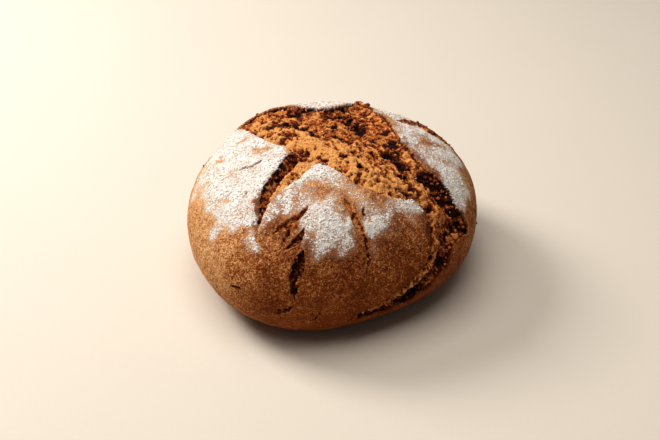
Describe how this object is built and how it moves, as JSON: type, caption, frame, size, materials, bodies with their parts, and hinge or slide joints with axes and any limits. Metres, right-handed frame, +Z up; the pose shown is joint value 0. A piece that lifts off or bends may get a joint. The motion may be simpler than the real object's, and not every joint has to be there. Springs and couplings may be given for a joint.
{
  "type": "rye bread loaf",
  "caption": "Round uncut rye loaf, domed, with a flat base and a wide ragged tear where the crust burst open across the crown.",
  "frame": {"origin": "middle of the flat base that the loaf lies on", "axes": "+Z up through the crown, the shortest way through the loaf; +X to the right and +Y to the back of the loaf, seen with the side tear at the front left"},
  "size_m": [0.2116, 0.2134, 0.1055],
  "materials": {
    "crust": "matt baked rye crust, orange-brown to dark brown, dusted with white flour, golden-brown torn crumb in the tears",
    "flour": "dry white rye flour, fully matt, slightly warm"
  },
  "bodies": {
    "root": {"rye_loaf": "crust"}
  },
  "joints": []
}
